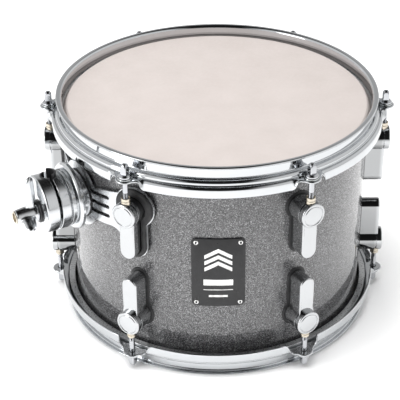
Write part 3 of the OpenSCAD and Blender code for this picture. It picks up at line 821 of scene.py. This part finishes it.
def lug_rings():
    """Rings of the lug casting from the shell outwards, as lists of (x, y, z)."""
    full = keyhole(BOSS_R, TAIL_R)
    foot = degrees(asin(TAIL_R / BOSS_R))
    tail_count = len(full) - ARC_STEPS - 1
    lower = arc(0, 0, 1, 270 - foot, 270 + foot, tail_count + 1)[1:-1]
    circle = [((y) / BOSS_R, (z - BOSS_Z) / BOSS_R) for y, z, tail in full if not tail] + lower
    rings = [[(round_drum(LUG_BACK, y), y, z) for y, z, _ in full]]

    edge = 1.4
    for x, boss_in in ((LUG_BACK + 1.5, 0), (SEAM_X - 0.15, 0), (SEAM_X, 0.15), (SEAM_X + 0.02, 1.3),
                       (SEAM_X + 0.98, 1.3), (SEAM_X + 1, 0.15), (SEAM_X + 1.15, 0)):
        ring = []
        for y, z, tail in full:
            scale = 1 if tail else (BOSS_R - boss_in) / BOSS_R
            ring.append((x, y * scale, BOSS_Z + (z - BOSS_Z) * scale))
        if tail_depth(x, edge) > 0:
            ring = inset_tail(ring, full, tail_depth(x, edge), x)
        rings.append(ring)
    for k in range(1, 7):
        a = radians(15 * k)
        x = TAIL_FRONT - edge + edge * sin(a)
        ring = [(x, y, z) for y, z, _ in full]
        rings.append(inset_tail(ring, full, edge * (1 - cos(a)), x))
    cap = [(BOSS_R, TAIL_FRONT), (BOSS_R, CAP_FRONT - 1.5)] + arc(BOSS_R - 1.2, CAP_FRONT - 1.3, 1.2, 0, 90, 5)
    cap += [(BOSS_R - 2.1, CAP_FRONT - 0.1), (BOSS_R - 2.4, CAP_FRONT - 0.6), (BOSS_R - 2.9, CAP_FRONT - 0.6),
            (BOSS_R - 3.3, CAP_FRONT - 0.15), (BOSS_R - 3.8, CAP_FRONT - 0.05), (BOSS_R - 6, CAP_FRONT + 0.08),
            (BOSS_R - 9, CAP_FRONT + 0.2), (0.8, CAP_FRONT + 0.28)]
    for r, x in cap:
        rings.append([(x, r * u, BOSS_Z + r * v) for u, v in circle])
    return rings


def tail_depth(x, edge):
    """How far the tail's rounded front edge has drawn in at x."""
    rise = max(0, x - (TAIL_FRONT - edge)) / edge
    return edge * (1 - sqrt(max(0, 1 - rise * rise)))


def inset_tail(ring, full, amount, x):
    """Draws the tail's part of a ring in by the amount, leaving the boss as it is."""
    small = keyhole(BOSS_R, TAIL_R - amount)
    return [(x, sy, sz) if tail else point for point, (sy, sz, tail) in zip(ring, small)]


def add_lug(node, angle, place):
    lug = build(node + "_casting", [loft(lug_rings())], sharp=38)
    spot = Matrix.Translation((ROD_R, 0, 0))
    cut(lug, moved(post(5.0, BOSS_Z + 6, LUG_TOP + 4), spot))
    placed(lug, place @ turned_by(angle))
    if place != IDENTITY:
        lug.data.flip_normals()
    shade(lug, 38)
    # The lug material carries painted shade on the side walls.
    stand_for(even_normals(lug), node, [LUG_PAINTED_SHADE_CHROME])


def add_lug_nuts(node, place):
    r = 4.5
    profile = rounded([
        (SHAFT_R + 0.1, NUT_END, 0), (r, NUT_END, 0.3), (r, NUT_TOP - 3.6, 0.2), (r - 0.5, NUT_TOP - 3.3, 0.1),
        (r - 0.5, NUT_TOP - 2.9, 0.1), (r, NUT_TOP - 2.6, 0.2), (r, NUT_TOP, 0.6), (r - 0.9, NUT_TOP, 0.2),
        (SHAFT_R + 0.1, NUT_TOP - 1.3, 0),
    ])
    one = turned(profile, steps=40)
    spots = [turned_by(angle) @ Matrix.Translation((ROD_R, 0, 0)) for angle in LUG_ANGLES]
    stand_for(build(node + "_set", [moved(one, spot) for spot in spots], place), node)


def swept_section(inner, outer, section):
    """Ring-like solid between two matched keyholes: section is a closed list of (share of the way out, radius)."""
    rings = []
    for share, radius in section:
        ring = []
        for (y0, z0, _), (y1, z1, _) in zip(inner, outer):
            y, z = mix(y0, y1, share), mix(z0, z1, share)
            ring.append((round_drum(radius, y), y, z))
        rings.append(ring)
    return loft(rings, cyclic=True)


def add_lug_gaskets():
    rim = 2.4
    section = rounded([(0, SHELL_R + 0.02, 0), (1, SHELL_R + 0.02, 0.1), (1, LUG_BACK, 0.5), (0, LUG_BACK, 0)])
    one = swept_section(keyhole(BOSS_R - 1, TAIL_R - 1), keyhole(BOSS_R + rim, TAIL_R + rim), section)
    spots = [side @ turned_by(angle) for side in (IDENTITY, TO_LOWER_HEAD) for angle in LUG_ANGLES]
    stand_for(build("lug_gasket_set", [moved(one, spot) for spot in spots]), "lug_gaskets")


# ---- Suspension ----
PAD_EXTRA_BOSS = 7.5
PAD_EXTRA_TAIL = 4.3
WEB_SHARE = 0.46


def add_isolator(node, angle):
    section = rounded([
        (0, LUG_BACK, 0.1), (0.94, LUG_BACK, 0.02), (1, LUG_BACK + 0.6, 0.02), (1, PLATE_IN - 0.05, 0.02),
        (WEB_SHARE, PLATE_IN - 0.05, 0), (WEB_SHARE, PLATE_OUT + 0.05, 0), (1, PLATE_OUT + 0.05, 0.02),
        (1, PAD_OUT - 1.3, 0.05), (0.8, PAD_OUT, 0.1), (0.16, PAD_OUT, 0.1), (0.0, PAD_OUT - 0.9, 0),
    ], 2)
    inner = keyhole(BOSS_R + 0.05, TAIL_R + 0.05)
    outer = keyhole(BOSS_R + PAD_EXTRA_BOSS, TAIL_R + PAD_EXTRA_TAIL)
    isolator = build(node + "_rubber", [swept_section(inner, outer, section)], turned_by(angle), 50)
    stand_for(isolator, node)


def flattened(y, turn=0):
    """Flat sideways place, before wrap(), of a point that is y sideways from the plane of an angle."""
    return SHELL_R * sin(asin(y / PLATE_IN) + radians(turn))


def flat_solid(name, outline, low=PLATE_IN, high=PLATE_OUT):
    return flat_piece(name, [plate(outline, low, high)])


ARM_TILT = 6.7
SLOT_R = 2.05
SLOT_LEN = 27
SLOT_Y = 34.2
SLOT_Z = 166.5
SLOT_PITCH = 10
JAW_Z = 161.5
FOOT_R = 33.5
FRAME_R = 20.7
FRAME_W = 12.9
WEB_R = 16.6
WEB_W = 10


def slot_outline(row):
    half = SLOT_LEN / 2
    ends = arc(half, 0, SLOT_R, -90, 90, 8) + arc(-half, 0, SLOT_R, 90, 270, 8)
    c, s = cos(radians(ARM_TILT)), sin(radians(ARM_TILT))
    z = SLOT_Z + row * SLOT_PITCH
    return [(flattened(SLOT_Y + u * c - v * s), z + u * s + v * c) for u, v in ends]


def arm_outline():
    low_z, fillet_y, fillet_r = 149, 52.5, 12
    points = [(-4, 178), (22, 179), (62, 189.5), (74, 195), (74, 160), (fillet_y + fillet_r + 3, 137)]
    points += arc(fillet_y, low_z - fillet_r, fillet_r, 0, 90, 8) + [(30, 146), (18, 134), (-4, 132)]
    return [(flattened(y), z) for y, z in points]


def keyhole_outline(r, half_w, side):
    return [(flattened(y, 30 * side), z) for y, z, _ in keyhole(r, half_w)]


def mirrored(outline):
    return [(-y, z) for y, z in outline[::-1]]


def add_bracket():
    bracket = flat_solid("mount_bracket_plate", [(y, JAW_Z + z) for y, z in arc(0, 0, FOOT_R - 1, 0, 354, 59)])
    arms = [arm_outline(), mirrored(arm_outline())]
    frames = [keyhole_outline(FRAME_R, FRAME_W, side) for side in (-1, 1)]
    combine(bracket, [flat_solid("joined", outline) for outline in arms + frames], "UNION")
    slots = [slot_outline(row) for row in (-1, 0, 1)]
    holes = [keyhole_outline(WEB_R, WEB_W, side) for side in (-1, 1)] + slots + [mirrored(slot) for slot in slots]
    combine(bracket, [flat_solid("hole", outline, PLATE_IN - 5, PLATE_OUT + 5) for outline in holes], "DIFFERENCE")
    wrap(bracket, 0.55, 2.5)
    placed(bracket, AT_CLAMP)
    stand_for(even_normals(bracket), "mount_bracket", [PLATE_CHROME])


# ---- Clamp ----
CLAMP_Z = 154
FOOT_BACK = PLATE_OUT + 1.2
FOOT_CORE_R = 24
RIM_X = 164.6
FACE_X = 170.2
RING_X = 175.5
ARM_X = 188
JAW_GAP = 1.3
JAW_R = 29
JAW_FRONT = 201.6
DISH_R = 19.5
SEAT_R = 12.5
SEAT_X = 200.6
HUB_X = 202.1
HUB_END = 225.5
WING_X = 213
SLEEVE_R = 8
TOM_ARM_R = 6.35


def add_foot_pad():
    outline = arc(0, 0, FOOT_CORE_R + 0.6, 0, 354, 59)
    back, front = ([(round_drum(r, y), y, JAW_Z + z) for y, z in outline] for r in (PLATE_OUT, FOOT_BACK))
    stand_for(build("foot_pad_rubber", [loft([back, front])], AT_CLAMP), "clamp_base_pad")


def add_clamp_foot():
    foot = rounded([
        (0, 145, 0), (FOOT_CORE_R, 145, 0), (FOOT_CORE_R, RIM_X, 0.6), (FOOT_R, RIM_X, 0.6),
        (FOOT_R, RIM_X + 3, 1.2), (FOOT_R - 1.7, FACE_X - 0.2, 1.4), (0, FACE_X, 0),
    ])
    neck = rounded([
        (0, FACE_X - 2, 0), (JAW_R - 2, FACE_X - 2, 0), (JAW_R - 2, FACE_X + 1, 0.3), (JAW_R - 0.6, FACE_X + 1.4, 0.4),
        (JAW_R - 0.6, RING_X, 0.5), (0, RING_X, 0),
    ])
    piece = build("clamp_foot", [turned(foot, "x", JAW_Z, 96)])
    cut(piece, post(FOOT_BACK, 0, DRUM_H, steps=288))
    combine(piece, [build("neck", [turned(neck, "x", JAW_Z, 96)])], "UNION")
    placed(piece, AT_CLAMP)
    shade(piece, 38)
    stand_for(even_normals(piece), "clamp_base")


def arm_hole():
    return moved(post(SLEEVE_R + 0.05, CLAMP_Z - 50, CLAMP_Z + 50), Matrix.Translation((ARM_X, 0, 0)))


def add_inner_jaw():
    face_x = ARM_X - JAW_GAP
    profile = rounded([
        (0, RING_X, 0), (JAW_R - 4, RING_X, 0.2), (JAW_R - 4, RING_X + 1.4, 0.3), (JAW_R - 0.4, RING_X + 1.4, 0.5),
        (JAW_R, RING_X + 2.4, 0.8), (JAW_R, face_x, 0.7), (0, face_x, 0),
    ])
    jaw = build("inner_jaw", [turned(profile, "x", JAW_Z, 96)])
    cut(jaw, arm_hole())
    placed(jaw, AT_CLAMP)
    shade(jaw, 38)
    stand_for(even_normals(jaw), "clamp_inner_jaw")


def add_outer_jaw():
    face_x = ARM_X + JAW_GAP
    profile = rounded([
        (0, face_x, 0), (JAW_R, face_x, 0.7), (JAW_R, JAW_FRONT, 2.0), (0, JAW_FRONT, 0),
    ])
    dish = rounded([
        (0, SEAT_X, 0), (SEAT_R, SEAT_X, 0.8), (DISH_R, JAW_FRONT, 1), (DISH_R + 1.5, JAW_FRONT + 0.8, 0),
        (0, JAW_FRONT + 0.8, 0),
    ])
    jaw = build("outer_jaw", [turned(profile, "x", JAW_Z, 96)])
    cut(jaw, turned(dish, "x", CLAMP_Z, 96))
    cut(jaw, arm_hole(), post(4.5, ARM_X, SEAT_X + 2, "x", CLAMP_Z))
    placed(jaw, AT_CLAMP)
    shade(jaw, 38)
    stand_for(even_normals(jaw), "clamp_outer_jaw")


def add_sleeve(node, side):
    """Half of the liner of the arm's hole, on the side of the inner (-1) or outer (1) jaw."""
    low, high = (corner.z for corner in box_mm(node))
    outer = arc(0, 0, SLEEVE_R, -80, 80, 20)
    inner = arc(0, 0, TOM_ARM_R, 80, -80, 20)
    outline = [(ARM_X + side * x, y) for x, y in outer + inner]
    edge = 0.35
    rings = []
    for z, shrink in ((low, edge), (low + edge, 0), (high - edge, 0), (high, edge)):
        middle = (SLEEVE_R + TOM_ARM_R) / 2
        ring = []
        for x, y in outline:
            d = hypot(x - ARM_X, y)
            scale = (d - shrink * (1 if d > middle else -1)) / d
            ring.append((ARM_X + (x - ARM_X) * scale, y * scale, z))
        rings.append(ring)
    stand_for(build(node + "_liner", [loft(rings)], AT_CLAMP), node)


def add_seat_washer():
    profile = rounded([(4.5, SEAT_X, 0.1), (SEAT_R - 1, SEAT_X, 0.2), (SEAT_R - 1, SEAT_X + 0.9, 0.3),
                       (SEAT_R - 2, HUB_X, 0.3), (4.5, HUB_X, 0.1)])
    stand_for(build("seat_washer_disc", [turned(profile, "x", CLAMP_Z)], AT_CLAMP), "clamp_seat_washer")


def wing_shape(turn, lean, reach, width, thick):
    """One wing: flat ovals from the hub out to a rounded tip."""
    rings = []
    for t in [0, 0.15, 0.3, 0.45, 0.6, 0.72, 0.82, 0.9, 0.96, 0.99]:
        out = mix(3, reach, t)
        tip = sqrt(max(0.02, 1 - (max(0, t - 0.62) / 0.38) ** 2))
        half_w = mix(8.2, width / 2, smooth_step(0, 0.55, t)) * tip
        half_t = mix(4.2, thick / 2, smooth_step(0, 0.6, t)) * mix(tip, 1, 0.35)
        ring = []
        for k in range(24):
            a = 2 * pi * k / 24
            ring.append((WING_X + lean * t + half_w * cos(a), half_t * sin(a), out))
        rings.append(ring)
    tilt = Matrix.Translation((0, 0, CLAMP_Z)) @ Matrix.Rotation(radians(turn), 4, "X")
    return moved(loft(rings), tilt)


def fin_shape():
    """Tall wing: thin near the jaw, thickest along a ridge, rounded on its outer side."""
    stations = [  # reach, inner edge, ridge, outer edge, half thickness
        (2, 203.4, 206.4, 213.0, 4.0), (8, 203.1, 206.2, 213.0, 4.0), (14, 203.0, 206.2, 212.9, 3.8),
        (20, 203.0, 206.6, 212.8, 3.6), (26, 203.0, 207.0, 212.6, 3.5), (31, 203.1, 207.5, 212.3, 3.2),
        (35, 203.3, 207.6, 211.6, 2.8), (37.6, 203.8, 207.3, 210.4, 2.3), (39.2, 204.9, 207.0, 209.0, 1.5),
        (39.8, 205.6, 206.8, 208.0, 0.8),
    ]
    rings = []
    for out, inner, ridge, outer, half_t in stations:
        section = rounded([
            (inner, -0.45 * half_t, 0.8), (ridge, -half_t, 3), (outer, -half_t * 0.8, 2.5),
            (outer, half_t * 0.8, 2.5), (ridge, half_t, 0.6), (inner, 0.45 * half_t, 0.8),
        ], 5)
        rings.append([(x, y, CLAMP_Z + out) for x, y in section])
    return loft(rings)


def add_wing_nut():
    hub = rounded([
        (0, HUB_X, 0), (9.3, HUB_X, 0.4), (9.6, HUB_X + 2, 0.6), (8.8, HUB_X + 4.4, 1.2), (7.2, HUB_END - 3, 1.5),
        (7.0, HUB_END - 1, 0.5), (0, HUB_END - 1, 0),
    ])
    nut = build("wing_nut_casting", [turned(hub, "x", CLAMP_Z, 64)])
    wings = [fin_shape(), wing_shape(-100, 4, 25, 12, 5), wing_shape(110, 0, 18, 12, 5)]
    combine(nut, [build("wing", [shape]) for shape in wings], "UNION")
    grid = nut.modifiers.new("grid", "REMESH")
    grid.mode = "VOXEL"
    grid.voxel_size = 0.55 * MM
    even = nut.modifiers.new("even", "SMOOTH")
    even.factor = 0.6
    even.iterations = 9
    bake_modifiers(nut)
    cut(nut, post(4.06, HUB_X - 3, HUB_END + 3, "x", CLAMP_Z), post(5.8, HUB_END - 7, HUB_END + 3, "x", CLAMP_Z))
    placed(nut, AT_CLAMP)
    shade(nut, 45)
    stand_for(nut, "wing_nut")


def add_wing_nut_insert():
    profile = rounded([(4.06, HUB_END - 7, 0), (5.75, HUB_END - 7, 0), (5.75, HUB_END - 0.9, 0),
                       (6.5, HUB_END - 0.9, 0.2), (6.3, HUB_END, 0.3), (4.5, HUB_END, 0.3)])
    stand_for(build("insert_bush", [turned(profile, "x", CLAMP_Z)], AT_CLAMP), "wing_nut_insert")


# ---- Assembly ----
add_shell()
add_vent_grommet()
add_badge()
add_badge_rivets()
for head, place in (("batter", IDENTITY), ("resonant", TO_LOWER_HEAD)):
    add_hoop(head + "_hoop", place)
    add_film(head + "_film", place)
    add_flesh_hoop(head + "_flesh_hoop", place)
    add_rod_washers(head + "_rod_washers", place)
    add_lug_nuts(head + "_lug_nuts", place)
    for k, lug_angle in enumerate(LUG_ANGLES, 1):
        add_rod(f"{head}_rod_{k}", lug_angle, place)
        add_lug(f"{head}_lug_{k}", lug_angle, place)
add_lug_gaskets()
add_isolator("mount_isolator_left", HUNG_ANGLES[0])
add_isolator("mount_isolator_right", HUNG_ANGLES[1])
add_bracket()
add_foot_pad()
add_clamp_foot()
add_inner_jaw()
add_outer_jaw()
add_sleeve("clamp_inner_sleeve", -1)
add_sleeve("clamp_outer_sleeve", 1)
add_seat_washer()
add_wing_nut()
add_wing_nut_insert()
for kept in ("lug_screws", "lug_screw_washers", "clamp_base_screws", "clamp_jaw_screws", "clamp_eye_bolt"):
    carry(kept)


# ---- Studio ----
# Brightness against the angle from the camera's horizon (0) over the top (0.5) to the back (1)
MIDDLE_LEVELS = [(0.0, 0.9), (0.02, 0.02), (0.5, 0.01), (0.72, 0.02), (0.80, 0.46), (1.0, 0.66)]
# Brightness of the side walls against the height of the line of sight
SIDE_LEVELS = [(0.0, 0.85), (0.4, 0.9), (0.7, 0.85), (0.88, 0.5), (1.0, 0.05)]
BAND_IN = 0.30
BAND_OUT = 0.55


def add_world():
    """A dark band from the camera over the ceiling, bright side walls and a grey back wall."""
    world = bpy.data.worlds.new("studio")
    world.use_nodes = True
    bpy.context.scene.world = world
    tree = world.node_tree
    sight = tree.nodes.new("ShaderNodeTexCoord").outputs["Generated"]
    split = tree.nodes.new("ShaderNodeSeparateXYZ")
    tree.links.new(sight, split.inputs["Vector"])

    def curve(source, stops):
        ramp = tree.nodes.new("ShaderNodeValToRGB")
        tree.links.new(source, ramp.inputs["Fac"])
        elements = ramp.color_ramp.elements
        while len(elements) < len(stops):
            elements.new(1)
        for element, (position, level) in zip(elements, stops):
            element.position = position
            element.color = (level, level, level, 1)
        return ramp.outputs["Color"]

    def step(operation, one, two=None, three=None):
        made = tree.nodes.new("ShaderNodeMath")
        made.operation = operation
        for place, value in enumerate((one, two, three)):
            if isinstance(value, bpy.types.NodeSocket):
                tree.links.new(value, made.inputs[place])
            elif value is not None:
                made.inputs[place].default_value = value
        return made.outputs["Value"]

    # Angle over the camera's plane: 0 at the horizon in front, 0.5 straight up, 1 at the back horizon
    over = step("DIVIDE", step("ARCTAN2", split.outputs["Z"], step("MULTIPLY", split.outputs["Y"], -1.0)), pi)
    middle = curve(over, MIDDLE_LEVELS)
    sides = curve(split.outputs["Z"], SIDE_LEVELS)
    sideways = curve(step("ABSOLUTE", split.outputs["X"]), [(BAND_IN, 0.0), (BAND_OUT, 1.0)])
    blend = tree.nodes.new("ShaderNodeMixRGB")
    for socket, value in (("Fac", sideways), ("Color1", middle), ("Color2", sides)):
        tree.links.new(value, blend.inputs[socket])
    tree.links.new(blend.outputs["Color"], tree.nodes["Background"].inputs["Color"])


def add_light(name, spot, size, energy, mirrored_in_metal):
    data = bpy.data.lights.new(name, "AREA")
    data.shape = "RECTANGLE"
    data.size, data.size_y = size
    data.energy = energy
    light = bpy.data.objects.new(name, data)
    bpy.context.scene.collection.objects.link(light)
    light.location = spot
    light.rotation_euler = (VIEW_TARGET - Vector(spot)).to_track_quat("-Z", "Y").to_euler()
    light.visible_glossy = mirrored_in_metal


def add_floor():
    half = 9
    data = bpy.data.meshes.new("floor")
    data.from_pydata([(-half, -half, 0), (half, -half, 0), (half, half, 0), (-half, half, 0)], [], [(0, 1, 2, 3)])
    floor = bpy.data.objects.new("floor", data)
    bpy.context.scene.collection.objects.link(floor)
    paper = Finish("floor_paper", (0.97, 0.97, 0.97), roughness=0.8)
    paper.drive("Base Color", paper.ramp(paper.noise(400, 2), [(0.3, (0.965,) * 3), (0.7, (0.975,) * 3)]))
    data.materials.append(paper.material)


add_world()
add_floor()
add_light("overhead", (-0.3, -0.2, 2.2), (1.8, 1.8), 78, False)
add_light("left_side", (-1.6, -0.9, 0.7), (0.7, 1.0), 9, True)
bpy.context.scene.view_settings.view_transform = "Standard"
